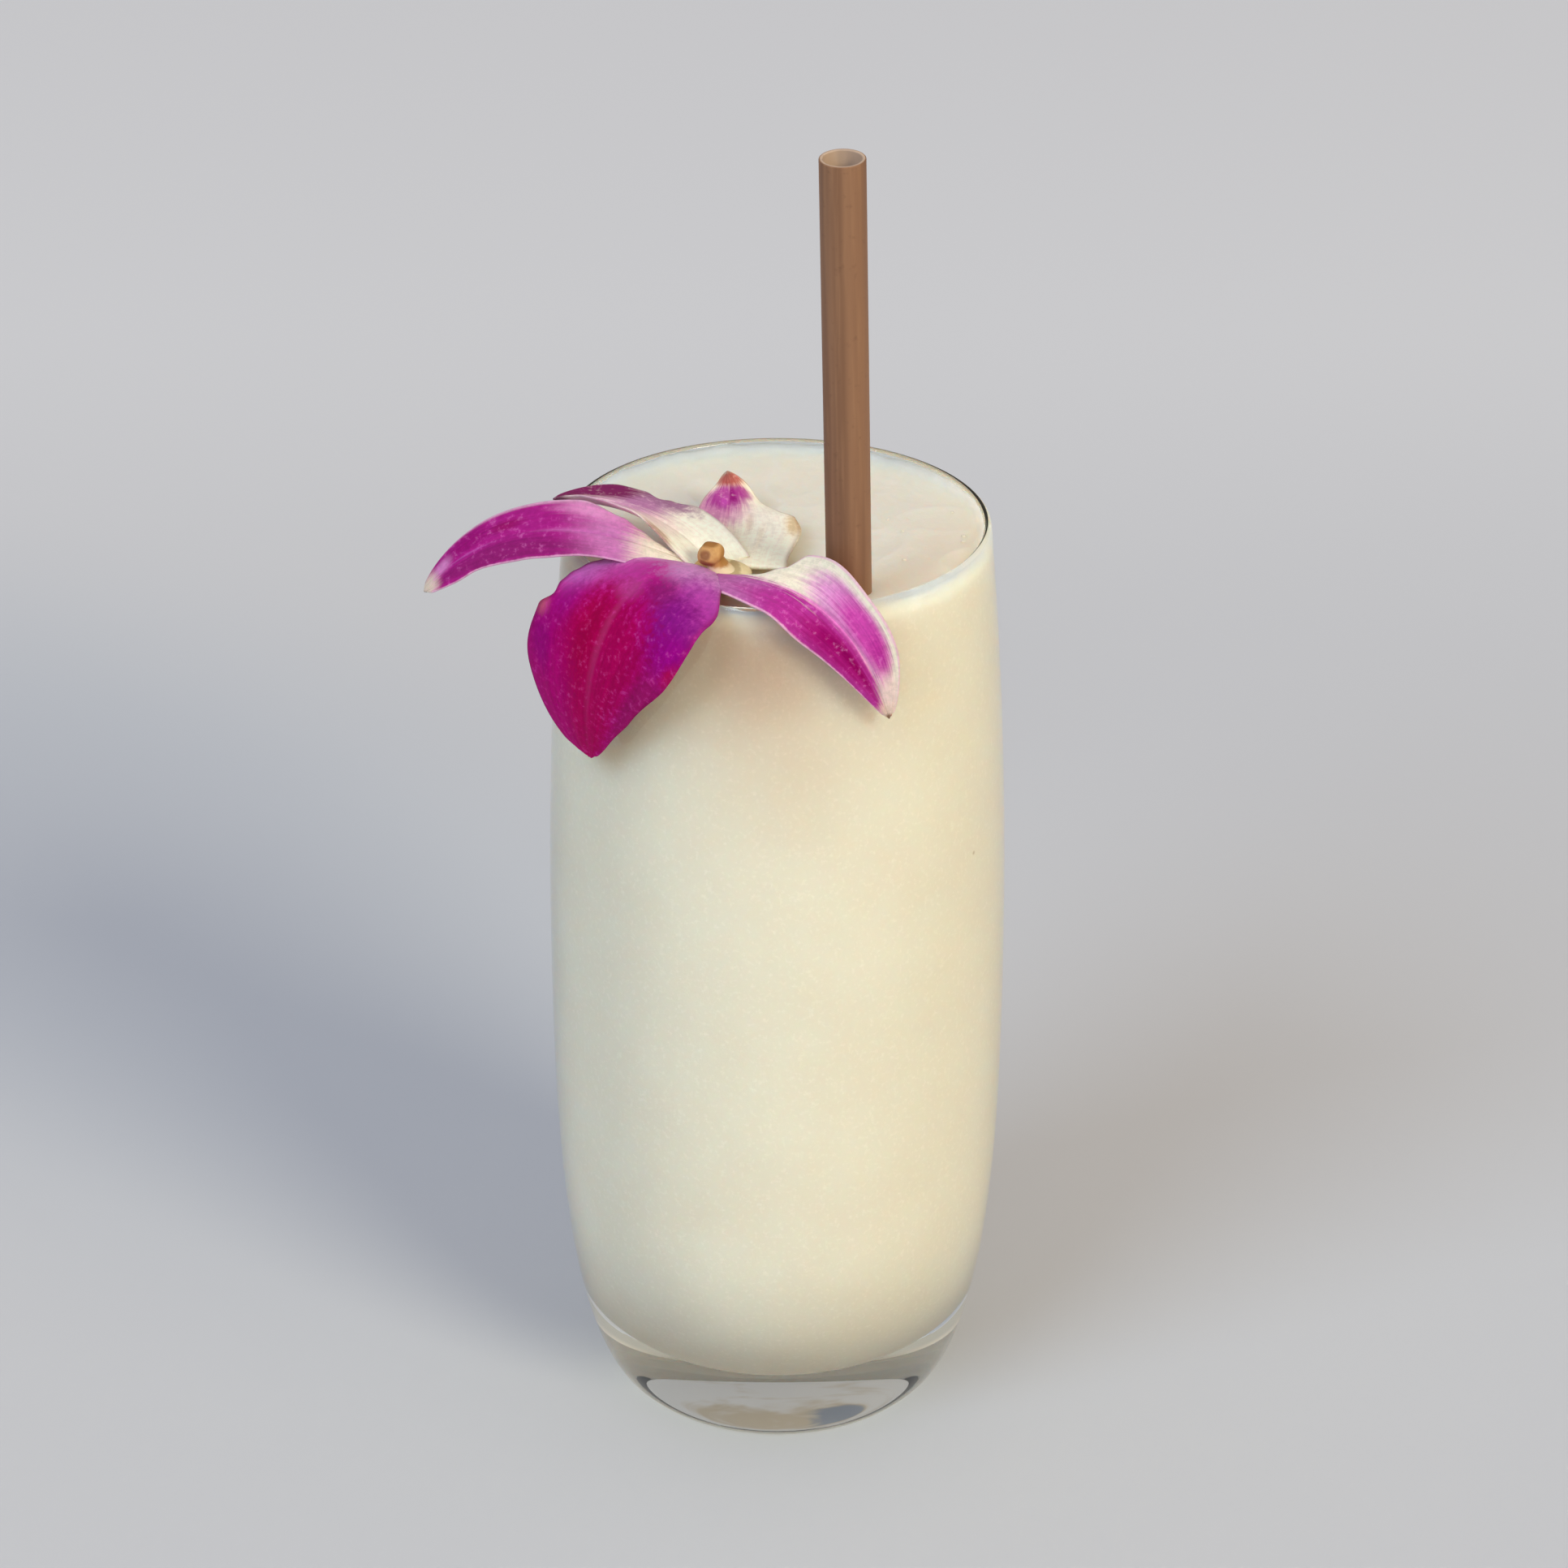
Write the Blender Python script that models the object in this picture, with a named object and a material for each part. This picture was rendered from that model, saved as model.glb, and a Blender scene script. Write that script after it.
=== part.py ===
# A tall clear glass filled almost to the rim with coconut lemonade, with a brown drinking
# straw and one orchid bloom laid over the front of the rim.
#
# The row's origin is the middle of the foot, on the surface the glass stands on. +Z is up,
# and -Y is the side that the bloom hangs over. Every size below is in millimetres.

import math

import bmesh
import bpy
from mathutils import Quaternion, Vector

MM = 0.001
GAP = 0.3  # left between pieces that touch

# Glass
HEIGHT = 139.0
FOOT_RADIUS = 20.5
BELLY_RADIUS = 33.0
BELLY_HEIGHT = 72.0
RIM_RADIUS = 29.9
FOOT_CURVE = (2.8, 2.2)  # how square the outside is between foot and belly
WALL_AT_RIM = 1.1
WALL_AT_BELLY = 1.8
BASE_THICKNESS = 10.1
BOWL_HEIGHT = 42.0  # the inside starts to round in below this
BOWL_CURVE = (2.6, 3.0)
SIDES = 72

# Drink
DRINK_LEVEL = HEIGHT - 2.0

# Straw: where its axis passes the drink's surface, and how it leans as it goes up
STRAW_RADIUS = 3.08
STRAW_BORE = 2.55
STRAW_AT = (9.8, -21.7, DRINK_LEVEL)
STRAW_LEAN = (-0.0209, -0.0796, 1.0)
STRAW_ABOVE = 64.7
STRAW_BELOW = 119.0
STRAW_SIDES = 24

# Orchid, with every height measured from the rim
PETAL_THICKNESS = 0.7
PETAL_STEPS = (16, 10)  # along and across
HEART = (-8.8, -17.6, -0.1)
HEART_RADII = (5.4, 3.9, 1.5)
COLUMN_FOOT = (-7.6, -17.6, -0.4)
COLUMN_TOP = (-8.9, -18.5, 3.2)
COLUMN_RADIUS = 1.6
CAP_RADIUS = 1.8

# A petal's rib is a cubic curve from the heart to the tip, and lean turns the whole petal
# about it. Left and right are as seen from above, looking out along the rib. Each half has
# its width, the place along the rib where it is widest, how round it is, and how much of the
# width it keeps at the heart (claw). Fold lifts it from flat and curl bends it further.
# Angles are in degrees, and lists of them are eased from base to tip.
PETALS = {
    "left": {
        "rib": [(-10, -17, 0), (-20, -17, 5), (-36, -12, 9.5), (-48.5, -13, -5)],
        "lean": (-10, -20, -30),
        "left": {
            "width": 5.5, "widest": 0.45, "roundness": 0.5, "claw": 0.3,
            "fold": (0, -5, -5), "curl": (-10, -20, -10),
        },
        "right": {
            "width": 5.5, "widest": 0.45, "roundness": 0.5, "claw": 0.3,
            "fold": (0, 5, 0), "curl": (0, 0, 0),
        },
    },
    "right": {
        "rib": [(-8, -20.5, 0.8), (0, -27, 3.5), (10, -35, 4.5), (15.2, -30, -16)],
        "lean": (-10, 30, 65, 55),
        "left": {
            "width": 6.6, "widest": 0.6, "roundness": 0.7, "claw": 0.7,
            "fold": (-20, 0, 20, 15), "curl": (0, 15, 10),
        },
        "right": {
            "width": 5.4, "widest": 0.55, "roundness": 0.7, "claw": 0.95,
            "fold": (-5, 7, 0, 5), "curl": (0, 0, 0),
        },
    },
    "front": {
        "rib": [(-9, -18, 0.3), (-17, -24, 7), (-27, -33, -1), (-25.5, -24, -25)],
        "lean": (0, -20, -33, -33),
        "left": {
            "width": 13.6, "widest": 0.45, "roundness": 0.65, "claw": 0.15,
            "fold": (12, 10, 0), "curl": (-15, -15, -15),
        },
        "right": {
            "width": 14.3, "widest": 0.68, "roundness": 0.45, "claw": 0.1,
            "fold": (-20, -13, 0, 0), "curl": (-10, -10, -15),
        },
    },
    "back_left": {
        "rib": [(-9, -16, 0), (-12, -10, 2.5), (-20, -4, 5.5), (-31, -3, 4.5)],
        "lean": (0, 20, 20),
        "left": {
            "width": 7.5, "widest": 0.55, "roundness": 0.6, "claw": 0.5,
            "fold": (5, 5, 5), "curl": (10, 10, 10),
        },
        "right": {
            "width": 7.2, "widest": 0.5, "roundness": 0.65, "claw": 0.8,
            "fold": (10, 12, 15), "curl": (20, 20, 20),
        },
    },
    "back": {
        "rib": [(-8, -15.5, 0), (-7, -4, 1), (-6, 8, -2), (-7, 7.5, 4.2)],
        "lean": (0, 0, 0),
        "left": {
            "width": 4.5, "widest": 0.45, "roundness": 0.7, "claw": 0.5,
            "fold": (5, 5, 5), "curl": (10, 10, 10),
        },
        "right": {
            "width": 10.5, "widest": 0.42, "roundness": 1.25, "claw": 0.75,
            "fold": (0, 0, -35), "curl": (0, 0, 0),
        },
    },
}
TIP_HALF_WIDTH = 0.5
TIP_CROWDING = 1.5  # over 1 sets the steps closer together toward the tip
TIP_POINT = 0.015  # how far the tip stands out from the margins, as a share of the length


def clear_scene():
    for obj in list(bpy.data.objects):
        bpy.data.objects.remove(obj, do_unlink=True)


def material(name, colour, roughness, transmission=0.0, ior=1.45):
    made = bpy.data.materials.new(name)
    made.use_nodes = True
    shader = made.node_tree.nodes["Principled BSDF"]
    shader.inputs["Base Color"].default_value = (*colour, 1)
    shader.inputs["Roughness"].default_value = roughness
    shader.inputs["Metallic"].default_value = 0
    shader.inputs["Transmission Weight"].default_value = transmission
    shader.inputs["IOR"].default_value = ior
    return made


def object_from(bm, name, finish=None):
    """An object in the scene from a bmesh in millimetres."""
    bmesh.ops.scale(bm, vec=(MM, MM, MM), verts=bm.verts)
    mesh = bpy.data.meshes.new(name)
    bm.to_mesh(mesh)
    bm.free()
    mesh.shade_smooth()
    mesh.set_sharp_from_angle(angle=math.radians(40))
    obj = bpy.data.objects.new(name, mesh)
    bpy.context.collection.objects.link(obj)
    if finish:
        mesh.materials.append(finish)
    return obj


def apply_modifiers(obj):
    """Replace the object's mesh with what its modifiers make of it."""
    graph = bpy.context.evaluated_depsgraph_get()
    made = bpy.data.meshes.new_from_object(obj.evaluated_get(graph))
    obj.modifiers.clear()
    obj.data = made


def turned(profile, sides):
    """A closed body from (radius, height) points that start and end on the axis."""
    bm = bmesh.new()
    verts = [bm.verts.new((radius, 0, height)) for radius, height in profile]
    edges = [bm.edges.new(pair) for pair in zip(verts, verts[1:])]
    bmesh.ops.spin(
        bm, geom=verts + edges, cent=(0, 0, 0), axis=(0, 0, 1), angle=math.tau,
        steps=sides, use_merge=True,
    )
    bmesh.ops.remove_doubles(bm, verts=bm.verts, dist=1e-4)
    bmesh.ops.triangulate(bm, faces=bm.faces)
    bmesh.ops.recalc_face_normals(bm, faces=bm.faces)
    return bm


def outer_radius(height):
    """The outside of the glass: a rounded foot, a full belly and a slight taper to the rim."""
    if height >= BELLY_HEIGHT:
        rise = (height - BELLY_HEIGHT) / (HEIGHT - BELLY_HEIGHT)
        return BELLY_RADIUS - (BELLY_RADIUS - RIM_RADIUS) * rise**2
    drop = 1 - height / BELLY_HEIGHT
    squareness, fullness = FOOT_CURVE
    swell = (1 - drop**squareness) ** (1 / fullness)
    return FOOT_RADIUS + (BELLY_RADIUS - FOOT_RADIUS) * swell


def inner_radius(height):
    """The inside wall, which rounds in to a bowl over the thick base."""
    rise = max(height, BOWL_HEIGHT) / HEIGHT
    wall = WALL_AT_BELLY + (WALL_AT_RIM - WALL_AT_BELLY) * max(0, (rise - 0.5) / 0.5)
    if height >= BOWL_HEIGHT:
        return outer_radius(height) - wall
    drop = (BOWL_HEIGHT - height) / (BOWL_HEIGHT - BASE_THICKNESS)
    squareness, fullness = BOWL_CURVE
    return (outer_radius(BOWL_HEIGHT) - wall) * max(0, 1 - drop**squareness) ** (1 / fullness)


def eased_heights(low, high, count, power=1.0):
    """Heights from low to high, closer together near low where power is over 1."""
    return [low + (high - low) * (i / count) ** power for i in range(count + 1)]


def inside_profile(top):
    """The inside of the glass from the middle of the bowl up to the height asked for."""
    bowl = [(inner_radius(h), h) for h in eased_heights(BASE_THICKNESS, BOWL_HEIGHT, 11, 2.0)]
    wall = [(inner_radius(h), h) for h in eased_heights(BOWL_HEIGHT, top, 5)]
    return [(0, BASE_THICKNESS)] + bowl[1:] + wall[1:]


def drawn_in(profile, gap):
    """The profile moved in by gap, at right angles to itself, with its ends kept in line."""
    moved = []
    for i, (radius, height) in enumerate(profile):
        before, after = profile[max(i - 1, 0)], profile[min(i + 1, len(profile) - 1)]
        run, rise = after[0] - before[0], after[1] - before[1]
        length = math.hypot(run, rise)
        moved.append((radius - gap * rise / length, height + gap * run / length))
    return [(0, profile[0][1] + gap)] + moved[1:-1] + [(moved[-1][0], profile[-1][1])]


def glass_profile():
    foot = [(0, 0)] + [(outer_radius(h), h) for h in eased_heights(0, BELLY_HEIGHT, 12, 2.2)]
    lip = WALL_AT_RIM / 2
    shoulder = HEIGHT - lip
    side = [(outer_radius(h), h) for h in eased_heights(BELLY_HEIGHT, shoulder, 5)[1:]]
    rim = [
        (RIM_RADIUS - lip + lip * math.cos(turn), shoulder + lip * math.sin(turn))
        for turn in (math.pi * step / 4 for step in range(1, 4))
    ]
    return foot + side + rim + inside_profile(shoulder)[::-1]


def make_glass():
    clear = material("clear_glass", (0.93, 0.95, 0.93), 0.03, transmission=1.0, ior=1.5)
    return object_from(turned(glass_profile(), SIDES), "glass", clear)


def straw_point(along):
    return Vector(STRAW_AT) + Vector(STRAW_LEAN).normalized() * along


def tube(radius, start, end, sides):
    """A solid rod along the straw's axis, between two distances from the drink's surface."""
    bm = bmesh.new()
    bmesh.ops.create_cone(
        bm, cap_ends=True, segments=sides, radius1=radius, radius2=radius, depth=end - start
    )
    turn = Vector((0, 0, 1)).rotation_difference(Vector(STRAW_LEAN))
    bmesh.ops.rotate(bm, cent=(0, 0, 0), matrix=turn.to_matrix(), verts=bm.verts)
    bmesh.ops.translate(bm, vec=straw_point((start + end) / 2), verts=bm.verts)
    return bm


def cutter_from(bm, name):
    obj = object_from(bm, name)
    obj.hide_render = True
    obj.display_type = "WIRE"
    return obj


def cut(obj, cutter):
    change = obj.modifiers.new("cut_" + cutter.name, "BOOLEAN")
    change.operation = "DIFFERENCE"
    change.solver = "EXACT"
    change.object = cutter


def make_straw():
    brown = material("straw_brown", (0.26, 0.135, 0.075), 0.6)
    straw = object_from(tube(STRAW_RADIUS, -STRAW_BELOW, STRAW_ABOVE, STRAW_SIDES), "straw", brown)
    bore = tube(STRAW_BORE, -STRAW_BELOW - 5, STRAW_ABOVE + 5, STRAW_SIDES)
    cut(straw, cutter_from(bore, "straw_bore"))
    return straw


def make_drink():
    cream = material("coconut_lemonade", (0.74, 0.69, 0.55), 0.35)
    profile = drawn_in(inside_profile(DRINK_LEVEL), GAP) + [(0, DRINK_LEVEL)]
    drink = object_from(turned(profile, SIDES), "drink", cream)
    well = tube(STRAW_RADIUS + GAP, -STRAW_BELOW - GAP, 10, STRAW_SIDES)
    cut(drink, cutter_from(well, "straw_well"))
    return drink


def bezier(points, along):
    first, second, third, last = (Vector(point) for point in points)
    back = 1 - along
    return (
        first * back**3 + second * 3 * back**2 * along
        + third * 3 * back * along**2 + last * along**3
    )


def eased(values, along):
    """The values stand at even steps from base to tip, and each eases into the next."""
    place = along * (len(values) - 1)
    step = min(int(place), len(values) - 2)
    share = place - step
    return values[step] + (values[step + 1] - values[step]) * share**2 * (3 - 2 * share)


def half_width(half, along):
    """From the claw at the heart through the widest place to the point at the tip."""
    peak = math.log(0.5) / math.log(half["widest"])
    blade = abs(math.sin(math.pi * along**peak)) ** half["roundness"]
    claw = half["claw"] * (1 - along) ** 2
    return max(half["width"] * (blade * (1 - claw) + claw), TIP_HALF_WIDTH)


def rolled(reach, fold, curl):
    """How far out and up a half has gone when it starts at fold and bends by curl."""
    if abs(curl) < 1e-4:
        return reach * math.cos(fold), reach * math.sin(fold)
    end = fold + curl * reach
    return (math.sin(end) - math.sin(fold)) / curl, (math.cos(fold) - math.cos(end)) / curl


def petal_point(petal, along, across):
    """A point of the petal: along runs 0 to 1 from the heart, across -1 (right) to 1 (left)."""
    step = 1e-3
    here = bezier(petal["rib"], along)
    tangent = bezier(petal["rib"], min(along + step, 1)) - bezier(petal["rib"], max(along - step, 0))
    tangent.normalize()
    heading = Vector(petal["rib"][3]) - Vector(petal["rib"][0])
    level = Vector((-heading.y, heading.x, 0)).normalized()
    sideways = (level - tangent * level.dot(tangent)).normalized()
    sideways = Quaternion(tangent, math.radians(eased(petal["lean"], along))) @ sideways
    upward = tangent.cross(sideways)
    half = petal["left" if across > 0 else "right"]
    width = half_width(half, along)
    out, rise = rolled(
        abs(across), math.radians(eased(half["fold"], along)), math.radians(eased(half["curl"], along))
    )
    return here + sideways * math.copysign(out * width, across) + upward * rise * width


def petal_body(petal):
    """A grid bent into the petal and given its thickness, both faces split alike."""
    steps_along, steps_across = PETAL_STEPS
    bm = bmesh.new()
    bmesh.ops.create_grid(bm, x_segments=steps_along, y_segments=steps_across, size=1)
    for vert in bm.verts:
        along = 1 - ((1 - vert.co.x) / 2) ** TIP_CROWDING
        vert.co = petal_point(petal, along * (1 - TIP_POINT * vert.co.y**2), vert.co.y)
    bmesh.ops.triangulate(bm, faces=bm.faces)
    bmesh.ops.recalc_face_normals(bm, faces=bm.faces)
    bm.normal_update()
    for vert, normal in [(vert, vert.normal.copy()) for vert in bm.verts]:
        vert.co += normal * PETAL_THICKNESS / 2
    bmesh.ops.solidify(bm, geom=bm.faces[:], thickness=PETAL_THICKNESS)
    bmesh.ops.recalc_face_normals(bm, faces=bm.faces)
    bmesh.ops.translate(bm, vec=(0, 0, HEIGHT), verts=bm.verts)
    return bm


def heart_body():
    """The disc where the petals meet."""
    bm = bmesh.new()
    bmesh.ops.create_uvsphere(bm, u_segments=20, v_segments=10, radius=1)
    bmesh.ops.scale(bm, vec=HEART_RADII, verts=bm.verts)
    bmesh.ops.translate(bm, vec=Vector(HEART) + Vector((0, 0, HEIGHT)), verts=bm.verts)
    return bm


def column_body():
    """The short column in the middle of the bloom."""
    foot, top = Vector(COLUMN_FOOT), Vector(COLUMN_TOP)
    bm = bmesh.new()
    bmesh.ops.create_cone(
        bm, cap_ends=True, segments=16, radius1=COLUMN_RADIUS * 1.2, radius2=COLUMN_RADIUS,
        depth=(top - foot).length,
    )
    turn = Vector((0, 0, 1)).rotation_difference(top - foot)
    bmesh.ops.rotate(bm, cent=(0, 0, 0), matrix=turn.to_matrix(), verts=bm.verts)
    bmesh.ops.translate(bm, vec=(foot + top) / 2 + Vector((0, 0, HEIGHT)), verts=bm.verts)
    return bm


def cap_body():
    """The rounded cap on the column."""
    bm = bmesh.new()
    bmesh.ops.create_uvsphere(bm, u_segments=16, v_segments=10, radius=CAP_RADIUS)
    bmesh.ops.translate(bm, vec=Vector(COLUMN_TOP) + Vector((0, 0, HEIGHT)), verts=bm.verts)
    return bm


def make_orchid():
    """One bloom: petals, heart, column and cap grown together."""
    magenta = material("orchid_magenta", (0.45, 0.03, 0.28), 0.45)
    orchid = object_from(heart_body(), "orchid", magenta)
    grown = bpy.data.collections.new("orchid_pieces")
    bpy.context.scene.collection.children.link(grown)
    pieces = [object_from(petal_body(petal), "petal_" + name) for name, petal in PETALS.items()]
    pieces += [object_from(column_body(), "column"), object_from(cap_body(), "cap")]
    for piece in pieces:
        bpy.context.collection.objects.unlink(piece)
        grown.objects.link(piece)
    join = orchid.modifiers.new("grown_together", "BOOLEAN")
    join.operation = "UNION"
    join.solver = "EXACT"
    join.operand_type = "COLLECTION"
    join.collection = grown
    apply_modifiers(orchid)
    for piece in pieces:
        bpy.data.objects.remove(piece, do_unlink=True)
    bpy.data.collections.remove(grown)
    return orchid


def main():
    clear_scene()
    make_glass()
    make_drink()
    make_straw()
    make_orchid()


main()
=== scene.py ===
# The looks of a glass of coconut lemonade with its straw and its orchid, dressed round the
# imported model. Shapes are worked out in millimetres and turned into metres as each piece ends.

import math
import random

import bmesh
import bpy
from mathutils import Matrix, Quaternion, Vector, noise


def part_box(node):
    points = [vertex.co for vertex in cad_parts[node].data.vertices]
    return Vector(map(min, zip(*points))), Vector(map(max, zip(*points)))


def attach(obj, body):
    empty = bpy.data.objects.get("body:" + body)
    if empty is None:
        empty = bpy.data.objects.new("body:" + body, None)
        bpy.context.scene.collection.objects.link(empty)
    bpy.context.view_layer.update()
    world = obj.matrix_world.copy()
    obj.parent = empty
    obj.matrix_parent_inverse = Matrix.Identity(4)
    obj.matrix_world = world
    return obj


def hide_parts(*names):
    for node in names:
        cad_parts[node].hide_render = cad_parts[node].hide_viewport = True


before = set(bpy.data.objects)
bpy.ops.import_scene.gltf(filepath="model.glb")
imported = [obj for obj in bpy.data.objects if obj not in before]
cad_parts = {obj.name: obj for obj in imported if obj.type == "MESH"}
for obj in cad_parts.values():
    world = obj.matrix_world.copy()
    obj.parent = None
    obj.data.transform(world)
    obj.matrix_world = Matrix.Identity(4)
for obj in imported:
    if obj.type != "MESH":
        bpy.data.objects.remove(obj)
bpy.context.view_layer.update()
mm = 0.001


def topOf(name):
    return (Vector(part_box(name)[1]) / mm).z


rimHeight = topOf("glass")
drinkLevel = topOf("drink")


# small helpers

def rgb(red, green, blue):
    # 0 to 255 as a screen shows it, turned into the linear colour that a shader takes
    def linear(value):
        share = value / 255
        return share / 12.92 if share <= 0.04045 else ((share + 0.055) / 1.055) ** 2.4
    return (linear(red), linear(green), linear(blue), 1)


def newObject(bm, name, material):
    # ends a bmesh in millimetres as a smooth object in metres
    bmesh.ops.scale(bm, vec=(mm, mm, mm), verts=bm.verts)
    mesh = bpy.data.meshes.new(name)
    bm.to_mesh(mesh)
    bm.free()
    mesh.shade_smooth()
    mesh.materials.append(material)
    thing = bpy.data.objects.new(name, mesh)
    bpy.context.scene.collection.objects.link(thing)
    return thing


def newPiece(bm, name, material, slot, *nodes):
    piece = newObject(bm, name, material)
    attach(piece, "root")
    for node in nodes:
        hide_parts(node)
    return piece


def spun(profile, steps):
    # turns a closed or on-axis profile of (radius, height) points round the Z axis
    bm = bmesh.new()
    verts = [bm.verts.new((radius, 0, height)) for radius, height in profile]
    edges = [bm.edges.new(pair) for pair in zip(verts, verts[1:])]
    if profile[0][0] > 0:
        edges.append(bm.edges.new((verts[-1], verts[0])))
    bmesh.ops.spin(
        bm, geom=verts + edges, cent=(0, 0, 0), axis=(0, 0, 1), angle=math.tau,
        steps=steps, use_merge=True,
    )
    bmesh.ops.remove_doubles(bm, verts=bm.verts, dist=1e-5)
    bmesh.ops.recalc_face_normals(bm, faces=bm.faces)
    return bm


def laidAlong(bm, direction, at):
    # turns what stands on the Z axis into the direction and moves it
    turn = Vector((0, 0, 1)).rotation_difference(direction)
    bmesh.ops.rotate(bm, cent=(0, 0, 0), matrix=turn.to_matrix(), verts=bm.verts)
    bmesh.ops.translate(bm, vec=at, verts=bm.verts)


def arc(centre, radius, start, end, steps):
    # points of an arc in the profile's plane, angles in degrees
    turns = (math.radians(start + (end - start) * step / steps) for step in range(steps + 1))
    return [(centre[0] + radius * math.cos(t), centre[1] + radius * math.sin(t)) for t in turns]


def easedSteps(low, high, count, power=1.0):
    # a power over 1 crowds them at the low end
    return [low + (high - low) * (step / count) ** power for step in range(count + 1)]


class Nodes:
    # A short way to place and wire the nodes of one tree. Every look gives a noise as scale,
    # detail, roughness and distortion, a range as from, to and what they become, softness as
    # weight, radius and scale, and relief as strength and distance.
    def __init__(self, tree):
        self.tree = tree

    def add(self, kind, settings=None, **inputs):
        node = self.tree.nodes.new("ShaderNode" + kind)
        for key, value in (settings or {}).items():
            setattr(node, key, value)
        self.wire(node, **inputs)
        return node

    def wire(self, node, **inputs):
        for key, value in inputs.items():
            self.plug(node, key, value)

    def plug(self, node, key, value):
        # keys are socket names with _ for a space, or in0, in1 for a socket's place
        place = int(key[2:]) if key.startswith("in") and key[2:].isdigit() else key.replace("_", " ")
        socket = node.inputs[place]
        if isinstance(value, bpy.types.NodeSocket):
            self.tree.links.new(value, socket)
        else:
            socket.default_value = value

    def maths(self, operation, first, second=0.0, clamp=False):
        node = self.add(
            "Math", {"operation": operation, "use_clamp": clamp}, in0=first, in1=second)
        return node.outputs[0]

    def blend(self, factor, under, over, kind="MIX"):
        settings = {"data_type": "RGBA", "blend_type": kind, "clamp_factor": True}
        return self.add("Mix", settings, in0=factor, in6=under, in7=over).outputs[2]

    def ranged(self, value, low, high, toLow=0.0, toHigh=1.0, smooth=True):
        kind = "SMOOTHSTEP" if smooth else "LINEAR"
        return self.add(
            "MapRange", {"interpolation_type": kind},
            Value=value, From_Min=low, From_Max=high, To_Min=toLow, To_Max=toHigh,
        ).outputs[0]

    def noise(self, vector, scale, detail=3.0, roughness=0.5, distortion=0.0):
        return self.add(
            "TexNoise", Vector=vector, Scale=scale, Detail=detail,
            Roughness=roughness, Distortion=distortion,
        ).outputs[0]

    def vectors(self, operation, *given):
        # a vector maths node, whose length comes out under another name
        node = self.add("VectorMath", {"operation": operation})
        for i, value in enumerate(given):
            self.plug(node, f"in{i}", value)
        return node.outputs["Value" if operation == "LENGTH" else 0]

    def placed(self, vector, at, turn=(0, 0, 0), reach=(1, 1, 1)):
        # seen from a place, in its own directions and in shares of its reach
        return self.add(
            "Mapping", {"vector_type": "TEXTURE"}, Vector=vector, Location=at,
            Rotation=turn, Scale=reach,
        ).outputs[0]

    def farFrom(self, vector, at, reach, degrees=0.0, unit=mm):
        # 0 in the middle of an oval patch and 1 at its edge
        turn = (0, 0, math.radians(degrees))
        return self.vectors("LENGTH", self.placed(vector, Vector(at) * unit, turn, Vector(reach) * unit))

    def layer(self, under, value, span, over, kind="MIX"):
        # lays a colour over another where the value is in its range
        return self.blend(self.ranged(value, *span), under, over, kind)

    def bumped(self, shader, strength, distance, height):
        bump = self.add("Bump", Strength=strength, Distance=distance, Height=height)
        self.plug(shader, "Normal", bump.outputs[0])

    def surface(self, shader, look, colour, roughness, height):
        self.wire(
            shader, Base_Color=colour, Roughness=roughness, Specular_IOR_Level=look["specular"])
        for key, value in zip(("Weight", "Radius", "Scale"), look.get("softness", ())):
            self.plug(shader, "Subsurface_" + key, value)
        self.bumped(shader, *look["relief"], height)

    def frayed(self, value, pattern, amount):
        return self.maths("ADD", value, self.maths("MULTIPLY", pattern, amount))

    def objectPlace(self):
        return self.add("TexCoord").outputs["Object"]

    def split(self, vector):
        return self.add("SeparateXYZ", Vector=vector).outputs


def newMaterial(name):
    material = bpy.data.materials.new(name)
    material.use_nodes = True
    tree = material.node_tree
    tree.nodes.clear()
    nodes = Nodes(tree)
    shader = nodes.add("BsdfPrincipled")
    output = nodes.add("OutputMaterial", Surface=shader.outputs[0])
    return material, nodes, shader, output


def newGroup(name, inputs, outputs):
    # sockets are given as names with their kinds
    group = bpy.data.node_groups.new(name, "ShaderNodeTree")
    for way, sockets in (("INPUT", inputs), ("OUTPUT", outputs)):
        for label, kind in sockets.items():
            group.interface.new_socket(name=label, in_out=way, socket_type="NodeSocket" + kind)
    given, out = (group.nodes.new("NodeGroup" + way) for way in ("Input", "Output"))
    return group, Nodes(group), given.outputs, out


# camera, floor and light

view = {
    "place": (0.96, -591.9, 400.3),
    "tilt": 62.92,  # degrees up from looking straight down
    "lens": 106.36,
    "sensor": 36.0,
    "nearest": 0.01,  # metres
}

floorLook = {
    "side": 24000,
    "height": 0.04,  # the foot is pressed onto it, as on a damp table
    "ground": rgb(206, 207, 208),
    "cloud": (3.0, 4.0),
    "clouds": ((0.3, 0.7), rgb(203, 204, 206)),
    # painted light: the floor is made lighter toward the back
    "far": ((0.2, 0.45), rgb(217, 218, 219)),  # metres back
    # painted shadow: the tone is deeper where the long shadow falls
    "deep": ((1.6, 0.5), (0.9, 0.93, 0.965, 1)),
    "deepPlace": ((-115, 150, 0), (140, 75, 1), 130.7),
    "roughness": 0.85,
    "specular": 0.15,
}

# painted light and reflection: the floor glows under the glass's foot with what the glass gathers and
# mirrors there, brown in front, pale at the back
paintedPoolLook = {
    "radius": 20.5,
    "edge": 2.0,
    "strength": 0.44,
    "ground": rgb(154, 143, 127),
    "ripple": (190, 3.0, 0.55, 0.4),
    "ripples": ((0.38, 0.62), rgb(175, 174, 175)),
    "turn": (0.004, 0.012, -0.12, 0.12),  # metres back, where the pale part starts
    # painted caustic: a blue-grey blot of gathered light in the pool
    "blot": ((1.9, 1.5), rgb(106, 113, 126)),
    "blotPlace": ((6.0, 5.5, 0), (3.8, 3.4, 1)),
    "blotFray": 1.6,
}

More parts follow.
